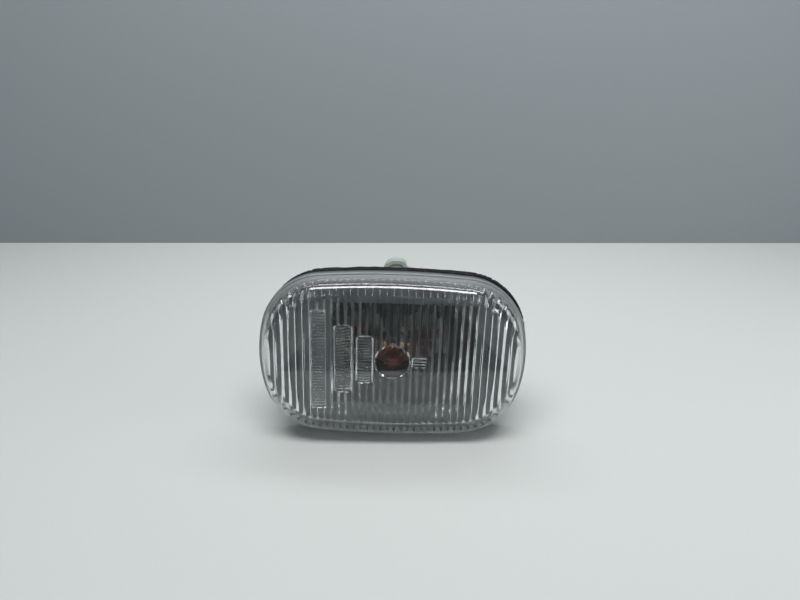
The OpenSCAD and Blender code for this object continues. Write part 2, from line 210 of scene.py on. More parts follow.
@dataclass(frozen=True)
class ClearAcrylic(Finish):
    """PMMA, injection moulded in a polished tool and hard-coated: clear, glassy, with handling dust."""

    tint: str = "#F4F8F8"
    ior: float = 1.49
    coat: float = 0.85
    coat_ior: float = 1.5
    coat_gloss: float = 0.03
    gloss: float = 0.015
    dusty: float = 0.16
    matt: float = 0.4
    ripple_mm: float = 7.0
    dust_mm: float = 0.35
    rib_mm: float = 0.9

    def shader(self, tree: bpy.types.NodeTree) -> bpy.types.NodeSocket:
        """Adds the nodes of the finish and returns the shader's output."""
        # Handling dust lies in small patches and roughens the polish there
        dust = self.grain(tree, self.dust_mm, detail=4, rough=0.7)
        roughness = add_node(
            tree,
            "ShaderNodeMapRange",
            {"From Min": 0.52, "From Max": 0.75, "To Min": self.gloss, "To Max": self.dusty},
            {"Value": dust.outputs["Fac"]},
        )
        # The skirt comes matt from the tool, and glows milky where light enters it
        skirt = add_node(tree, "ShaderNodeAttribute", {"attribute_name": "matt"})
        surface = add_node(
            tree,
            "ShaderNodeMix",
            {"B": self.matt},
            {"Factor": skirt.outputs["Fac"], "A": roughness.outputs["Result"]},
        )
        clarity = add_node(
            tree, "ShaderNodeMapRange", {"To Min": 1.0, "To Max": 0.86}, {"Value": skirt.outputs["Fac"]}
        )
        # Moulded acrylic sinks a few hundredths of a millimetre, which bends reflections softly
        ripple = self.grain(tree, self.ripple_mm, detail=1)
        sink = add_node(
            tree, "ShaderNodeBump", {"Strength": 0.25, "Distance": 0.08 * MM}, {"Height": ripple.outputs["Fac"]}
        )
        # Fine level ribs fill the pads between the flutes
        pads = add_node(tree, "ShaderNodeAttribute", {"attribute_name": "textured"})
        ribs = add_node(
            tree,
            "ShaderNodeTexWave",
            {"bands_direction": "Z", "Scale": math.tau / 20 / (self.rib_mm * MM)},
            {"Vector": self.place(tree)},
        )
        height = add_node(
            tree, "ShaderNodeMath", {"operation": "MULTIPLY"}, {0: ribs.outputs["Fac"], 1: pads.outputs["Fac"]}
        )
        bump = add_node(
            tree,
            "ShaderNodeBump",
            {"Strength": 1.0, "Distance": 0.18 * MM},
            {"Height": height.outputs["Value"], "Normal": sink.outputs["Normal"]},
        )
        # Outdoor lenses carry a scratch-proof coat, which gives the shoulder its crisp white line
        shader = add_node(
            tree,
            "ShaderNodeBsdfPrincipled",
            {
                "Base Color": linear(self.tint),
                "IOR": self.ior,
                "Coat Weight": self.coat,
                "Coat IOR": self.coat_ior,
                "Coat Roughness": self.coat_gloss,
            },
            {
                "Roughness": surface.outputs["Result"],
                "Transmission Weight": clarity.outputs["Result"],
                "Normal": bump.outputs["Normal"],
            },
        )
        return shader.outputs["BSDF"]


@dataclass(frozen=True)
class MouldedPlastic(Finish):
    """A moulded thermoplastic: even colour with faint flow marks, a spark-eroded grain and softly lit edges."""

    colour: str
    dusted: str
    sheen_low: float = 0.38
    sheen_high: float = 0.55
    grain_mm: float = 0.18
    grain_depth_mm: float = 0.012
    ior: float = 1.53
    glow: float = 0.0
    # A darker colour painted inside the box as shade, and the depth along Y where that painted shade starts
    inside: str = ""
    inside_shade_mm: float = -3.0

    def shader(self, tree: bpy.types.NodeTree) -> bpy.types.NodeSocket:
        """Adds the nodes of the finish and returns the shader's output."""
        # Dust and flow marks lighten the moulding in broad soft patches
        flow = self.grain(tree, 6.0, detail=5, rough=0.6)
        patch = add_node(
            tree, "ShaderNodeMapRange", {"From Min": 0.4, "From Max": 0.72}, {"Value": flow.outputs["Fac"]}
        )
        colour = add_node(
            tree,
            "ShaderNodeMix",
            {"data_type": "RGBA", 6: linear(self.colour), 7: linear(self.dusted)},
            {0: patch.outputs["Result"]},
        )
        # Painted shade: a darker colour inside the box stands in for the shade in its hollow
        if self.inside:
            colour = self.paint_inside_shade(tree, colour)
        # The tool's spark-eroded grain is finer than a pixel from a step away, and only softens the shine
        grain = self.grain(tree, self.grain_mm, detail=2)
        roughness = add_node(
            tree,
            "ShaderNodeMapRange",
            {"From Min": 0.3, "From Max": 0.7, "To Min": self.sheen_low, "To Max": self.sheen_high},
            {"Value": grain.outputs["Fac"]},
        )
        edge = add_node(tree, "ShaderNodeBevel", {"samples": 4, "Radius": 0.25 * MM})
        bump = add_node(
            tree,
            "ShaderNodeBump",
            {"Strength": 0.5, "Distance": self.grain_depth_mm * MM},
            {"Height": grain.outputs["Fac"], "Normal": edge.outputs["Normal"]},
        )
        shader = add_node(
            tree,
            "ShaderNodeBsdfPrincipled",
            {"IOR": self.ior, "Subsurface Weight": self.glow, "Subsurface Scale": 1.5 * MM},
            {
                "Base Color": colour.outputs[2],
                "Roughness": roughness.outputs["Result"],
                "Normal": bump.outputs["Normal"],
            },
        )
        return shader.outputs["BSDF"]


    def paint_inside_shade(self, tree: bpy.types.NodeTree, colour: bpy.types.Node) -> bpy.types.Node:
        """Adds painted shade inside the box: a darker colour that starts behind the flange.

        Args:
            tree: The node tree.
            colour: The mix node that holds the flange's colour.

        Returns:
            A mix node that holds both.
        """
        place = add_node(tree, "ShaderNodeSeparateXYZ", links={"Vector": self.place(tree)})
        start, end = (self.inside_shade_mm - 1.6) * MM, self.inside_shade_mm * MM
        depth = add_node(
            tree, "ShaderNodeMapRange", {"From Min": start, "From Max": end}, {"Value": place.outputs["Y"]}
        )
        return add_node(
            tree,
            "ShaderNodeMix",
            {"data_type": "RGBA", 7: linear(self.inside)},
            {0: depth.outputs["Result"], 6: colour.outputs[2]},
        )


@dataclass(frozen=True)
class CellFoam(Finish):
    """Closed-cell EVA foam, die-cut: dull black with open cells along the cut."""

    colour: str = "#0F1112"
    torn: str = "#2B3032"
    cell_mm: float = 0.45

    def shader(self, tree: bpy.types.NodeTree) -> bpy.types.NodeSocket:
        """Adds the nodes of the finish and returns the shader's output."""
        cells = add_node(
            tree, "ShaderNodeTexVoronoi", {"Scale": 1 / (self.cell_mm * MM)}, {"Vector": self.place(tree)}
        )
        crumbs = self.grain(tree, 1.6, detail=6, rough=0.75)
        worn = add_node(
            tree, "ShaderNodeMapRange", {"From Min": 0.5, "From Max": 0.7}, {"Value": crumbs.outputs["Fac"]}
        )
        colour = add_node(
            tree,
            "ShaderNodeMix",
            {"data_type": "RGBA", 6: linear(self.colour), 7: linear(self.torn)},
            {0: worn.outputs["Result"]},
        )
        bump = add_node(
            tree, "ShaderNodeBump", {"Strength": 0.8, "Distance": 0.15 * MM}, {"Height": cells.outputs["Distance"]}
        )
        shader = add_node(
            tree,
            "ShaderNodeBsdfPrincipled",
            {"Roughness": 0.9, "IOR": 1.45, "Specular IOR Level": 0.25},
            {"Base Color": colour.outputs[2], "Normal": bump.outputs["Normal"]},
        )
        return shader.outputs["BSDF"]


@dataclass(frozen=True)
class DyedGlass(Finish):
    """Soda-lime bulb glass, blown and dyed amber: thin, clear, deeper in colour where it is seen edge on."""

    colour: str = "#E69A42"
    ior: float = 1.52

    def shader(self, tree: bpy.types.NodeTree) -> bpy.types.NodeSocket:
        """Adds the nodes of the finish and returns the shader's output."""
        # The dye runs slightly uneven along the blown wall
        streak = self.grain(tree, 4.0, detail=2)
        colour = add_node(
            tree,
            "ShaderNodeMix",
            {"data_type": "RGBA", 6: linear(self.colour), 7: linear("#CB7B2C")},
            {0: streak.outputs["Fac"]},
        )
        bump = add_node(
            tree, "ShaderNodeBump", {"Strength": 0.2, "Distance": 0.05 * MM}, {"Height": streak.outputs["Fac"]}
        )
        shader = add_node(
            tree,
            "ShaderNodeBsdfPrincipled",
            {"Transmission Weight": 1.0, "IOR": self.ior, "Roughness": 0.02},
            {"Base Color": colour.outputs[2], "Normal": bump.outputs["Normal"]},
        )
        return shader.outputs["BSDF"]


@dataclass(frozen=True)
class WorkedMetal(Finish):
    """A drawn or stamped metal: tool marks along it, and a duller tone where it has been handled."""

    colour: str
    dull: str
    smooth: float = 0.22
    rough: float = 0.42
    mark_mm: float = 0.25

    def shader(self, tree: bpy.types.NodeTree) -> bpy.types.NodeSocket:
        """Adds the nodes of the finish and returns the shader's output."""
        marks = self.grain(tree, self.mark_mm, detail=4, rough=0.65)
        colour = add_node(
            tree,
            "ShaderNodeMix",
            {"data_type": "RGBA", 6: linear(self.colour), 7: linear(self.dull)},
            {0: marks.outputs["Fac"]},
        )
        roughness = add_node(
            tree, "ShaderNodeMapRange", {"To Min": self.smooth, "To Max": self.rough}, {"Value": marks.outputs["Fac"]}
        )
        shader = add_node(
            tree,
            "ShaderNodeBsdfPrincipled",
            {"Metallic": 1.0},
            {"Base Color": colour.outputs[2], "Roughness": roughness.outputs["Result"]},
        )
        return shader.outputs["BSDF"]


@dataclass(frozen=True)
class PaintedBoard(Finish):
    """Matt emulsion on board, for the floor and the wall behind: pale, with a faint roller texture."""

    colour: str
    one_sided: bool = False

    def shader(self, tree: bpy.types.NodeTree) -> bpy.types.NodeSocket:
        """Adds the nodes of the finish and returns the shader's output."""
        stipple = self.grain(tree, 1.2, detail=3)
        bump = add_node(
            tree, "ShaderNodeBump", {"Strength": 0.15, "Distance": 0.05 * MM}, {"Height": stipple.outputs["Fac"]}
        )
        shader = add_node(
            tree,
            "ShaderNodeBsdfPrincipled",
            {"Base Color": linear(self.colour), "Roughness": 0.8, "Specular IOR Level": 0.2},
            {"Normal": bump.outputs["Normal"]},
        )
        if not self.one_sided:
            return shader.outputs["BSDF"]
        # The wall shows its front only, so that the lamp can be looked at from behind
        side = add_node(tree, "ShaderNodeNewGeometry")
        clear = add_node(tree, "ShaderNodeBsdfTransparent")
        mixed = add_node(
            tree,
            "ShaderNodeMixShader",
            links={0: side.outputs["Backfacing"], 1: shader.outputs["BSDF"], 2: clear.outputs["BSDF"]},
        )
        return mixed.outputs["Shader"]


class Material(Enum):
    """The finishes of the lamp, each named for what the real piece is made of."""

    # Clear and glassy: shows the flutes by refraction
    CLEAR_ACRYLIC = ClearAcrylic("moulded_clear_acrylic")
    # Grey flange that shows pale between the flutes, and a box whose inside carries painted shade: a darker colour for
    # the shade in its hollow
    HOUSING_ABS = MouldedPlastic("moulded_grey_abs", "#50565A", "#5C6266", inside="#131415")
    # Grey-green, slightly translucent
    HOLDER_NYLON = MouldedPlastic("moulded_grey_nylon", "#8B958F", "#97A19B", 0.35, 0.5, 0.3, 0.015, 1.53, 0.08)
    # Soft black ring
    SEAL_RUBBER = MouldedPlastic("moulded_epdm_rubber", "#1A1B1B", "#26282A", 0.55, 0.75, 0.4, 0.02, 1.5)
    GASKET_FOAM = CellFoam("die_cut_eva_foam")
    AMBER_GLASS = DyedGlass("blown_amber_glass")
    # Tinned brass: warm, bright at the cut edges
    TINNED_BRASS = WorkedMetal("stamped_tinned_brass", "#C9BB93", "#9C8C62")
    NICKEL_WIRE = WorkedMetal("drawn_nickel_wire", "#B9B9B6", "#8D8D8B")
    TUNGSTEN = WorkedMetal("coiled_tungsten", "#6E6B66", "#4B4946", 0.35, 0.55, 0.05)
    FLOOR_BOARD = PaintedBoard("pale_painted_board", "#AEB2B1")
    WALL_BOARD = PaintedBoard("painted_back_board", "#80878B", True)

    def make(self) -> bpy.types.Material:
        """Makes the material once, and afterwards returns the same one."""
        return bpy.data.materials.get(self.value.name) or self.value.material()


@dataclass
class Outline:
    """The lamp's outline: two long arcs, two end arcs and four corner arcs that touch them. Sizes in millimetres."""

    width: float = 78.0
    height: float = 50.5
    long_radius: float = 250.0
    end_radius: float = 43.0
    corner_radius: float = 18.6

    def __post_init__(self) -> None:
        """Works out where the arcs touch."""
        self.long_z = self.height / 2 - self.long_radius
        self.end_x = self.width / 2 - self.end_radius
        far = self.long_radius - self.corner_radius
        near = self.end_radius - self.corner_radius
        span = math.hypot(self.end_x, self.long_z)
        along = (far * far - near * near + span * span) / (2 * span)
        aside = math.sqrt(far * far - along * along)
        self.corner_x = along * self.end_x / span - aside * self.long_z / span
        self.corner_z = self.long_z - along * self.long_z / span - aside * self.end_x / span
        self.long_angle = math.atan2(self.corner_z - self.long_z, self.corner_x)
        self.end_angle = math.atan2(self.corner_z, self.corner_x - self.end_x)

    def arc(self, angle: float) -> tuple[float, float, float]:
        """Gives the arc that holds a direction of the first quarter.

        Args:
            angle: Direction of the outward normal, from 0 at the end to a quarter turn at the top.

        Returns:
            The arc's centre x and z, and its radius.
        """
        if angle >= self.long_angle:
            return 0.0, self.long_z, self.long_radius
        if angle >= self.end_angle:
            return self.corner_x, self.corner_z, self.corner_radius
        return self.end_x, 0.0, self.end_radius

    def at(self, angle: float, inset: float) -> Point:
        """Gives the point with that outward normal on the outline moved in by an inset.

        Args:
            angle: Direction of the outward normal, anywhere round the outline.
            inset: How far the outline is moved in.

        Returns:
            The point's x and z.
        """
        cosine, sine = math.cos(angle), math.sin(angle)
        x, z, radius = self.arc(math.atan2(abs(sine), abs(cosine)))
        right, up = math.copysign(1, cosine), math.copysign(1, sine)
        return (
            right * (x + (radius - inset) * abs(cosine)),
            up * (z + (radius - inset) * abs(sine)),
        )

    def inset_of(self, x: float, z: float) -> float:
        """Gives how far inside the outline a point lies."""
        x, z = abs(x), abs(z)
        if math.atan2(z - self.long_z, x) >= self.long_angle:
            return self.long_radius - math.hypot(x, z - self.long_z)
        if math.atan2(z, x - self.end_x) <= self.end_angle:
            return self.end_radius - math.hypot(x - self.end_x, z)
        return self.corner_radius - math.hypot(x - self.corner_x, z - self.corner_z)

    def normal_at(self, x: float, inset: float) -> float:
        """Gives the direction of the normal where the moved-in outline's first quarter passes over x."""
        if x <= (self.long_radius - inset) * math.cos(self.long_angle):
            centre, radius = 0.0, self.long_radius
        elif x <= self.corner_x + (self.corner_radius - inset) * math.cos(self.end_angle):
            centre, radius = self.corner_x, self.corner_radius
        else:
            centre, radius = self.end_x, self.end_radius
        return math.acos(min(1.0, max(0.0, (x - centre) / (radius - inset))))


@dataclass
class BarePad:
    """A smooth raised pad that interrupts the flutes. Sizes in millimetres."""

    x: float
    z: float
    width: float
    height: float
    corner: float

    def distance(self, x: float, z: float) -> float:
        """Gives how far a point lies inside the pad's edge, below zero outside it."""
        across = abs(x - self.x) - self.width / 2 + self.corner
        along = abs(z - self.z) - self.height / 2 + self.corner
        outside = math.hypot(max(across, 0), max(along, 0)) + min(max(across, along), 0)
        return self.corner - outside


@dataclass
class FlutedLens:
    """The clear lens: a smooth shell outside, flutes that run from top to bottom inside. Sizes in millimetres."""

    outline: Outline
    weld_y: float = -5.2
    rim: float = 1.2
    ledge: float = 0.5
    depth: float = 5.4
    lean_deg: float = 21.2
    shoulder: float = 2.9
    corner_inset: float = 5.5
    corner_deg: float = 40.0
    corner_blend: float = 0.3
    edge_inset: float = 3.6
    side_wall: float = 1.8
    face_wall: float = 1.7
    pitch: float = 2.0
    flank_deg: float = 35.3
    crest: float = 0.06
    rib_share: float = 0.9
    rib_end: float = 2.0
    weld_sink: float = 0.03
    flute_count: int = 17
    pad_rise: float = 0.2
    pad_edge: float = 0.12
    pads: list[BarePad] = field(
        default_factory=lambda: [
            BarePad(-21.2, 0, 4.1, 30.3, 0.8),
            BarePad(-14.2, 0.5, 4.8, 20.7, 1.2),
            BarePad(-8, 0.5, 4.4, 14.6, 1.2),
            BarePad(7.8, 0, 4, 3, 0.6),
            BarePad(0, 0, 10, 10, 5),
        ]
    )

    def __post_init__(self) -> None:
        """Works out the sizes that follow from the others."""
        self.flank = math.tan(math.radians(self.flank_deg))
        self.flute_rise = self.fall(self.pitch / 2)
        self.front = self.rim + self.depth
        self.inner = self.front - self.face_wall
        self.lean = math.radians(self.lean_deg)
        self.edge_level = self.inner - (self.corner_inset - self.edge_inset) * math.tan(math.radians(self.corner_deg))

    def fall(self, away: float) -> float:
        """Gives how far a flute falls off at a distance from its crest: round on top, with nearly flat flanks."""
        return math.hypot(self.crest, self.flank * away) - self.crest

    def rise(self, x: float) -> float:
        """Gives how far the flutes stand behind their valleys at x."""
        nearest = round(x / self.pitch)
        if abs(nearest) > self.flute_count:
            return 0.0
        return self.flute_rise - self.fall(x - nearest * self.pitch)

    def level(self, x: float, z: float) -> float:
        """Gives the height of the fluted side at a point, in front of the weld plane."""
        rise = self.rise(x)
        over = self.corner_inset - self.outline.inset_of(x, z)
        drop = (over + math.hypot(over, self.corner_blend)) / 2 * math.tan(math.radians(self.corner_deg))
        for pad in self.pads:
            share = smoothstep(pad.distance(x, z), -self.pad_edge, self.pad_edge)
            rise += (self.flute_rise + self.pad_rise - rise) * share
        return self.inner - rise - drop

    def rib(self, x: float, angle: float) -> float:
        """Gives how far the flutes carry on down the side wall at x, less towards the ends."""
        return self.rib_share * self.rise(x) * abs(math.sin(angle)) ** 2

    def columns(self) -> list[float]:
        """Gives the x of each column of the fluted side, from the middle to where the two walls meet."""
        end = self.outline.width / 2 - self.edge_inset
        steps = 6
        found = [end]
        for flute in range(self.flute_count + 1):
            for step in range(-steps, steps + 1):
                away = math.copysign(abs(step / steps) ** 1.5, step) * self.pitch / 2
                found.append(flute * self.pitch + away)
        for tenth in range(0, 600, 8):
            found.append(self.outline.at(math.radians(tenth / 10), self.edge_inset)[0])
        kept: list[float] = []
        for x in sorted(x for x in found if 0 <= x <= end):
            if not kept or x - kept[-1] > 0.012 or x == end:
                kept.append(x)
        return kept

    def rows(self) -> list[float]:
        """Gives the z of each row of the fluted side but the last ones, closer together round the pads' edges."""
        found = [i * 0.25 for i in range(-24, 25)]
        found += [i * 1.2 for i in range(-20, 21)]
        for pad in self.pads:
            for edge in (pad.z - pad.height / 2, pad.z + pad.height / 2):
                found += [edge + i * 0.08 for i in range(-3, 4)]
                found += [edge + math.copysign(i * 0.25, pad.z - edge) for i in range(1, 5)]
        kept: list[float] = []
        for z in sorted(found):
            if not kept or z - kept[-1] > 0.05:
                kept.append(z)
        return kept

    def hollow_section(self) -> list[tuple[float, float, float]]:
        """Gives the section of the hollow from the corner's edge rearward to the weld.

        Returns:
            Inset, height, and the share of the ribs' depth that is left there.
        """
        low = self.ledge + self.side_wall
        top = self.edge_level - self.flute_rise - 0.15
        slope = (self.edge_inset - low) / (self.edge_level - self.rim)
        found = [
            (low + (height - self.rim) * slope, height, share)
            for height, share in ((top, 0.9), (top - 0.25, 0.7), (self.rim + 0.2, 0.3))
        ]
        return found + [(low, self.rim, 0.0), (low, -self.weld_sink, 0.0)]

    def outer_section(self) -> list[Point]:
        """Gives the section from the weld plane over the rim, wall and shoulder to the face.

        Returns:
            Pairs of inset and height.
        """
        edge = 0.18
        section = [(0.05, -self.weld_sink), (0.05, 0.0), (0.0, 0.0), (0.0, self.rim - edge)]
        section += [
            (edge - edge * math.cos(a), self.rim - edge + edge * math.sin(a))
            for a in (math.radians(22.5 * i) for i in range(1, 5))
        ]
        section += [(self.ledge - 0.12, self.rim), (self.ledge, self.rim + 0.05)]
        centre_height = self.front - self.shoulder
        centre = self.ledge + (centre_height - self.rim) * math.tan(self.lean) + self.shoulder / math.cos(self.lean)
        steps = 12
        for i in range(steps + 1):
            a = self.lean + (math.pi / 2 - self.lean) * i / steps
            section.append((centre - self.shoulder * math.cos(a), centre_height + self.shoulder * math.sin(a)))
        return section

    def build(self) -> bpy.types.Object:
        """Builds the lens as one closed mesh.

        Returns:
            The lens.
        """
        piece = Piece("fluted_lens")
        right = self.columns()
        xs = [-x for x in reversed(right[1:])] + right
        reach = []
        for x in xs:
            if abs(x) == right[-1]:
                reach.append((0.0, 0.0))
                continue
            angle = self.outline.normal_at(abs(x), self.edge_inset)
            inset = self.edge_inset + self.rib(x, angle)
            angle = self.outline.normal_at(abs(x), inset)
            reach.append((angle, self.outline.at(angle, inset)[1]))
        # The last rows follow the outline, so that the corner behind the face is smooth
        margin = 3.2
        closing = [margin * i / 16 for i in range(16)]
        grid = []
        for z in [*(-c for c in closing), *self.rows(), *reversed(closing)]:
            follows = len(grid) < len(closing) or len(grid) >= len(closing) + len(self.rows())
            low_end = len(grid) < len(closing)
            row = []
            for x, (_, limit) in zip(xs, reach):
                scale = min(1.0, limit / margin / 1.2)
                inside = max(0.0, limit - margin * scale)
                if follows:
                    held = limit - abs(z) * scale
                    held = -held if low_end else held
                else:
                    held = max(-inside, min(inside, z))
                row.append(piece.point(x, self.weld_y - self.level(x, held), held))
            grid.append(row)
        for low, high in zip(grid, grid[1:]):
            piece.bridge(low, high, closed=False)
        angles = [math.pi - a if x < 0 else a for x, (a, _) in zip(xs, reach)]
        angles += [-a for a in reversed(angles[1:-1])]
        ribs = [self.rib(x, a) for x, a in zip(xs, angles)]
        ribs += ribs[-2:0:-1]
        last = grid[-1] + grid[0][-2:0:-1]
        sections = self.hollow_section() + [(*step, 0.0) for step in self.outer_section()]
        for inset, height, share in sections:
            ring = []
            for angle, rib in zip(angles, ribs):
                x, z = self.outline.at(angle, inset + rib * share)
                ring.append(piece.point(x, self.weld_y - height, z))
            piece.bridge(last, ring)
            last = ring
        count = len(xs)
        top, bottom = last[:count], [last[0]] + last[:count - 2:-1]
        piece.bridge(top, bottom[:count], closed=False)
        made = piece.finish(Material.CLEAR_ACRYLIC.make(), sharp_deg=32)
        self.mark_surfaces(made)
        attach(made, "lamp_body")
        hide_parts("lens")
        return made

    def mark_surfaces(self, lens: bpy.types.Object) -> None:
        """Writes where the moulding is matt, on its skirt, and where it is textured, on its pads.

        Args:
            lens: The finished lens.
        """
        matt = lens.data.attributes.new("matt", "FLOAT", "POINT")
        textured = lens.data.attributes.new("textured", "FLOAT", "POINT")
        for vertex, skirt, pad in zip(lens.data.vertices, matt.data, textured.data):
            x, y, z = (c / MM for c in vertex.co)
            height = self.weld_y - y
            wall_end = self.front - self.shoulder
            if height < wall_end and self.outline.inset_of(x, z) < self.ledge + (height - self.rim) * 0.5 + 0.6:
                skirt.value = 1 - smoothstep(height, wall_end - 1.6, wall_end - 0.6)
            if 3 < height < self.inner:
                pad.value = max(smoothstep(p.distance(x, z), 0.1, 0.4) for p in self.pads[:-1])


@dataclass
class FoamGasket:
    """The die-cut foam ring between flange and panel, ragged along its cut. Sizes in millimetres."""

    outline: Outline
    thickness: float = 3.0
    inset: float = 0.1
    shift: float = 0.6
    lift: float = 0.4
    hole_x: float = 3.0
    hole_w: float = 43.8
    hole_h: float = 36.8
    hole_r: float = 3.9
    stations: int = 720
    ragged: float = 0.55

    def hole_point(self, angle: float) -> Point:
        """Gives the point of the hole's edge in a direction from its centre."""
        cosine, sine = math.cos(angle), math.sin(angle)
        half_w, half_h = self.hole_w / 2, self.hole_h / 2
        reach = min(half_w / max(abs(cosine), 1e-9), half_h / max(abs(sine), 1e-9))
        x, z = reach * cosine, reach * sine
        over_x, over_z = abs(x) - (half_w - self.hole_r), abs(z) - (half_h - self.hole_r)
        if over_x > 0 and over_z > 0:
            shrink = self.hole_r / math.hypot(over_x, over_z)
            x = math.copysign(half_w - self.hole_r + over_x * min(1, shrink), x)
            z = math.copysign(half_h - self.hole_r + over_z * min(1, shrink), z)
        return self.hole_x + x, z

    def build(self) -> bpy.types.Object:
        """Builds the gasket as one closed ring.

        Returns:
            The gasket.
        """
        piece = Piece("foam_gasket")
        half = self.thickness / 2
        depths = [-half + self.thickness * i / 8 for i in range(9)]
        across = [i / 7 for i in range(1, 7)]
        sections = [(0.0, d) for d in depths] + [(s, half) for s in across]
        sections += [(1.0, -d) for d in depths] + [(1 - s, -half) for s in across]
        rings = []
        for station in range(self.stations):
            angle = math.tau * station / self.stations
            out_x, out_z = self.outline.at(angle, self.inset)
            in_x, in_z = self.hole_point(math.atan2(out_z + self.lift, out_x - self.hole_x + self.shift))
            rings.append(piece.ring(self.section_points(sections, (out_x, out_z), (in_x, in_z), half)))
        for first, second in zip(rings, rings[1:] + rings[:1]):
            piece.bridge(first, second)
        made = piece.finish(Material.GASKET_FOAM.make(), sharp_deg=50)
        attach(made, "lamp_body")
        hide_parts("gasket")
        return made

    def section_points(
        self, sections: list[Point], outer: Point, inner: Point, half: float
    ) -> list[tuple[float, float, float]]:
        """Gives the points of the ring's section at one station, with the cut's raggedness.

        Args:
            sections: Shares from the outer edge to the hole, and depths from the middle of the foam.
            outer: The outer edge's x and z before the shift.
            inner: The hole edge's x and z.
            half: Half the foam's thickness.

        Returns:
            The points.
        """
        bottom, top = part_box("gasket")
        right, low, high = top.x / MM, bottom.z / MM, top.z / MM
        found = []
        for share, depth in sections:
            x = outer[0] + (inner[0] - outer[0] - self.shift) * share
            z = outer[1] + (inner[1] - outer[1] - self.lift) * share
            seed = Vector((x * 1.9, depth * 1.4, z * 1.9))
            nibble = noise.fractal(seed, 0.9, 2.1, 4) * self.ragged
            tuft = max(0.0, noise.noise(seed * 2.7) - 0.42) * self.ragged * 3
            edge = 1.0 if share in (0.0, 1.0) else 0.0
            rounded = 0.25 * max(0.0, abs(depth) - half + 0.4) / 0.4 if edge else 0.0
            inward = edge * (max(-0.12, nibble * 0.7 - 0.04 - tuft) + rounded)
            length = math.hypot(outer[0], outer[1])
            sign = 1 if share < 0.5 else -1
            x += self.shift - sign * inward * outer[0] / length
            z += self.lift - sign * inward * outer[1] / length
            y = -half + depth
            if abs(depth) == half and not edge:
                y -= math.copysign(abs(nibble) * 0.25, depth)
            found.append((min(x, right), y, max(low, min(z, high))))
        return found


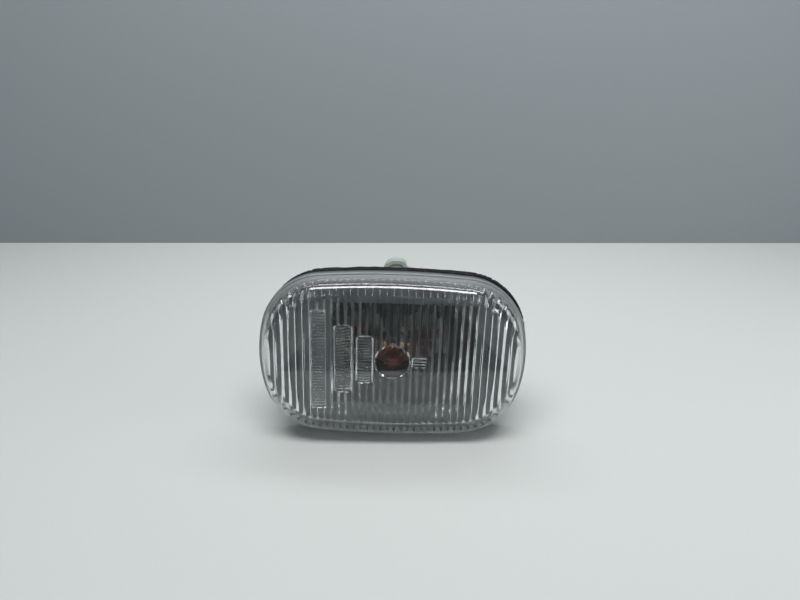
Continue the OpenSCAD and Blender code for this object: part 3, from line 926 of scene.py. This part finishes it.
@dataclass
class WedgeBulb:
    """The amber wedge bulb: a blown envelope pinched into a flat base, with its coil. Sizes in millimetres."""

    diameter: float = 10.3
    length: float = 26.8
    base_w: float = 9.4
    base_t: float = 2.1
    base_len: float = 8.5
    wall: float = 0.7
    wire_r: float = 0.2
    coil_turns: int = 13
    coil_wire: float = 0.06
    round_steps: int = 48

    def __post_init__(self) -> None:
        """Reads the bulb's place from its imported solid."""
        low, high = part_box("bulb_glass")
        self.tip = low.y / MM
        self.base_end = high.y / MM
        self.shoulder = self.base_end - self.base_len
        low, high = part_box("bulb_filament")
        self.coil_x = high.x / MM
        self.coil_y = (low.y + high.y) / 2 / MM
        self.coil_r = (high.y - low.y) / 2 / MM

    def loop(self, half_w: float, half_t: float, flat: float) -> list[Point]:
        """Gives a closed loop between an ellipse and a rectangle with round corners.

        Args:
            half_w: Half the loop's width along X.
            half_t: Half its thickness along Z.
            flat: 0 for an ellipse, 1 for the pinched base.

        Returns:
            The loop's x and z pairs.
        """
        power = 2 / (2 + 6 * flat)
        found = []
        for step in range(self.round_steps):
            angle = math.tau * step / self.round_steps
            cosine, sine = math.cos(angle), math.sin(angle)
            found.append(
                (
                    half_w * math.copysign(abs(cosine) ** power, cosine),
                    half_t * math.copysign(abs(sine) ** power, sine),
                )
            )
        return found

    def envelope(self, piece: Piece, inset: float) -> None:
        """Adds the blown wall, or the hollow inside it.

        Args:
            piece: The mesh that takes it.
            inset: How far inside the outer surface it lies.
        """
        radius = self.diameter / 2
        steps = 12
        stations: list[tuple[float, float, float, float]] = []
        for i in range(1, steps + 1):
            a = math.pi / 2 * i / steps
            r = (radius - inset) * math.sin(a)
            stations.append((self.tip + radius - (radius - inset) * math.cos(a), r, r, 0.0))
        pinch = self.shoulder - 0.4
        start = pinch - 4.2
        end_t = self.base_t / 2 if inset == 0 else 0.25
        end_w = self.base_w / 2 if inset == 0 else self.base_w / 2 - inset - 1.2
        for i in range(1, 11):
            t = smoothstep(i / 10, 0, 1)
            y = start + (pinch - start - inset) * i / 10
            half_w = (radius - inset) + (end_w - radius + inset) * t
            half_t = (radius - inset) + (end_t - radius + inset) * t
            stations.append((y, half_w, half_t, t))
        if inset == 0:
            for y in (self.base_end - 0.3, self.base_end - 0.08):
                stations.append((y, end_w, end_t, 1.0))
            stations.append((self.base_end, end_w - 0.15, end_t - 0.15, 1.0))
        nose = piece.point(0, self.tip + inset, 0)
        last: list[int] = []
        for y, half_w, half_t, flat in stations:
            ring = piece.ring((x, y, z) for x, z in self.loop(half_w, half_t, flat))
            if last:
                piece.bridge(last, ring)
            else:
                for i in range(self.round_steps):
                    piece.faces.append((nose, ring[(i + 1) % self.round_steps], ring[i]))
            last = ring
        tail = piece.point(0, stations[-1][0], 0)
        for i in range(self.round_steps):
            piece.faces.append((tail, last[i], last[(i + 1) % self.round_steps]))

    def build_glass(self) -> bpy.types.Object:
        """Builds the glass with its hollow.

        Returns:
            The bulb's glass.
        """
        piece = Piece("bulb_envelope")
        self.envelope(piece, 0.0)
        self.envelope(piece, self.wall)
        made = piece.finish(Material.AMBER_GLASS.make(), sharp_deg=40)
        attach(made, "holder")
        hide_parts("bulb_glass")
        return made

    def build_coil(self) -> bpy.types.Object:
        """Builds the filament as a fine coil between its wires.

        Returns:
            The filament.
        """
        piece = Piece("filament_coil")
        per_turn, sides = 14, 6
        count = self.coil_turns * per_turn
        rings = []
        for i in range(count + 1):
            t = i / count
            turn = math.tau * self.coil_turns * t
            x = self.coil_x * (2 * t - 1)
            radius = (self.coil_r - self.coil_wire) * smoothstep(min(t, 1 - t), 0, 0.06)
            out = Vector((0, math.cos(turn), math.sin(turn)))
            centre = Vector((x, self.coil_y, 0)) + out * radius
            along = Vector((2 * self.coil_x / self.coil_turns / math.tau, -out.z * radius, out.y * radius))
            side = along.cross(out).normalized()
            rings.append(
                piece.ring(
                    centre + (out * math.cos(a) + side * math.sin(a)) * self.coil_wire
                    for a in (math.tau * k / sides for k in range(sides))
                )
            )
        for first, second in zip(rings, rings[1:]):
            piece.bridge(first, second)
        piece.faces.append(rings[0])
        piece.faces.append(rings[-1][::-1])
        made = piece.finish(Material.TUNGSTEN.make(), sharp_deg=60)
        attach(made, "holder")
        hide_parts("bulb_filament")
        return made


@dataclass
class CarriedOver:
    """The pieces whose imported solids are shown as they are, each with its finish."""

    finishes: dict[str, Material] = field(
        default_factory=lambda: {
            "housing": Material.HOUSING_ABS,
            "bulb_holder": Material.HOLDER_NYLON,
            "holder_seal": Material.SEAL_RUBBER,
            "contact_left": Material.TINNED_BRASS,
            "contact_right": Material.TINNED_BRASS,
            "lead_wire_left": Material.NICKEL_WIRE,
            "lead_wire_right": Material.NICKEL_WIRE,
        }
    )

    def dress(self) -> None:
        """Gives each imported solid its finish."""
        for name, finish in self.finishes.items():
            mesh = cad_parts[name].data
            mesh.materials.clear()
            mesh.materials.append(finish.make())
            log.info("dressed %s in %s", name, finish.value.name)


@dataclass
class Studio:
    """The floor, the wall behind, the lights and the camera. Lengths in millimetres unless a name says otherwise."""

    floor_normal: Vector = field(default_factory=lambda: Vector((-0.03, -0.165, 0.986)).normalized())
    wall_distance: float = 148.0
    camera_place: Vector = field(default_factory=lambda: Vector((0.0, -160.1, 67.3)))
    camera_forward: Vector = field(default_factory=lambda: Vector((0.0101, 0.9513, -0.3081)))
    camera_up: Vector = field(default_factory=lambda: Vector((-0.0292, 0.3082, 0.9509)))
    focal_mm: float = 25.65
    sensor_mm: float = 36.0

    def __post_init__(self) -> None:
        """Finds the height of the floor under the lamp."""
        reach = [
            self.floor_normal.dot(vertex.co)
            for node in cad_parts.values()
            for vertex in node.data.vertices
        ]
        self.floor_level = min(reach) / MM
        self.back = Vector((0, 1, 0)) - self.floor_normal * self.floor_normal.y
        self.back.normalize()
        self.right = self.back.cross(self.floor_normal).normalized()

    def on_floor(self, right: float, back: float, up: float) -> Vector:
        """Gives a place from distances along the floor and above it.

        Args:
            right: Distance to the right.
            back: Distance rearward along the floor.
            up: Height above the floor.

        Returns:
            The place in metres.
        """
        floor = self.floor_normal * self.floor_level
        return (floor + self.right * right + self.back * back + self.floor_normal * up) * MM

    def sheet(self, name: str, corners: list[Vector], finish: Material) -> None:
        """Adds a flat sheet that is not part of the lamp.

        Args:
            name: The sheet's name.
            corners: Its corners in order.
            finish: Its finish.
        """
        mesh = bpy.data.meshes.new(name)
        mesh.from_pydata([tuple(c) for c in corners], [], [tuple(range(len(corners)))])
        mesh.materials.append(finish.make())
        made = bpy.data.objects.new(name, mesh)
        bpy.context.scene.collection.objects.link(made)

    def build_ground(self) -> None:
        """Adds the floor and the wall behind it."""
        far, wide, tall = self.wall_distance, 900.0, 420.0
        # It is open under the camera, where the photographer's shadow lies, and the lens mirrors that dark place
        near, gap, gap_near = -420.0, 55.0, -98.0
        floor = [(-wide, near), (-gap, near), (-gap, gap_near), (gap, gap_near), (gap, near), (wide, near)]
        floor += [(wide, far), (-wide, far)]
        self.sheet("floor", [self.on_floor(r, b, 0) for r, b in floor], Material.FLOOR_BOARD)
        wall = [(-wide, 0.0), (wide, 0.0), (wide, tall), (-wide, tall)]
        self.sheet("wall", [self.on_floor(r, far, u) for r, u in wall], Material.WALL_BOARD)

    def area(self, name: str, place: Vector, target: Vector, size: Point, watts: float, colour: str) -> None:
        """Adds a soft box.

        Args:
            name: The light's name.
            place: Where it hangs, in metres.
            target: What it points at, in metres.
            size: Its width and depth in metres.
            watts: Its power.
            colour: Its colour.
        """
        light = bpy.data.lights.new(name, "AREA")
        light.shape = "RECTANGLE"
        light.size, light.size_y = size
        light.energy = watts
        light.color = linear(colour)[:3]
        made = bpy.data.objects.new(name, light)
        made.location = place
        made.rotation_mode = "QUATERNION"
        made.rotation_quaternion = (target - place).to_track_quat("-Z", "Y")
        bpy.context.scene.collection.objects.link(made)

    def build_lights(self) -> None:
        """Adds a soft sky, a long ceiling light in front of the lamp, a weaker one behind it and two side lights."""
        world = bpy.data.worlds.new("studio")
        bpy.context.scene.world = world
        world.use_nodes = True
        world.node_tree.nodes.clear()
        sky = add_node(world.node_tree, "ShaderNodeBackground", {"Color": linear("#E9EEF0"), "Strength": 0.12})
        add_node(world.node_tree, "ShaderNodeOutputWorld", links={"Surface": sky.outputs["Background"]})
        lamp = Vector((0, 0, 0))
        self.area("ceiling_light", self.on_floor(0, -95, 420), lamp, (0.36, 0.14), 2.0, "#FFFFFF")
        self.area("left_light", self.on_floor(-300, -60, 110), lamp, (0.2, 0.2), 0.15, "#FFFFFF")
        self.area("right_light", self.on_floor(300, -60, 110), lamp, (0.2, 0.2), 0.3, "#FFFFFF")
        self.area("back_light", self.on_floor(0, 120, 300), self.on_floor(0, 120, 0), (0.4, 0.05), 0.55, "#FFFFFF")

    def build_camera(self) -> None:
        """Places the camera at the photograph's angle."""
        data = bpy.data.cameras.new("camera")
        data.lens = self.focal_mm
        data.sensor_width = self.sensor_mm
        data.sensor_fit = "HORIZONTAL"
        data.clip_start = 1 * MM
        made = bpy.data.objects.new("camera", data)
        forward = self.camera_forward.normalized()
        right = forward.cross(self.camera_up).normalized()
        up = right.cross(forward)
        turn = Matrix((right, up, -forward)).transposed().to_4x4()
        turn.translation = self.camera_place * MM
        made.matrix_world = turn
        bpy.context.scene.collection.objects.link(made)
        bpy.context.scene.camera = made


def main() -> None:
    """Builds the lamp and the studio."""
    logging.basicConfig(level=logging.INFO, format="%(name)s: %(message)s")
    bpy.context.scene.view_settings.view_transform = "Standard"
    outline = Outline()
    bulb = WedgeBulb()
    pieces = [FlutedLens(outline).build(), FoamGasket(outline).build(), bulb.build_glass(), bulb.build_coil()]
    for piece in pieces:
        log.info("built %s with %d faces", piece.name, len(piece.data.polygons))
    CarriedOver().dress()
    light_paths = bpy.context.scene.cycles
    light_paths.max_bounces = 24
    light_paths.transmission_bounces = 24
    light_paths.glossy_bounces = 16
    studio = Studio()
    studio.build_ground()
    studio.build_lights()
    studio.build_camera()


if __name__ == "__main__":
    main()
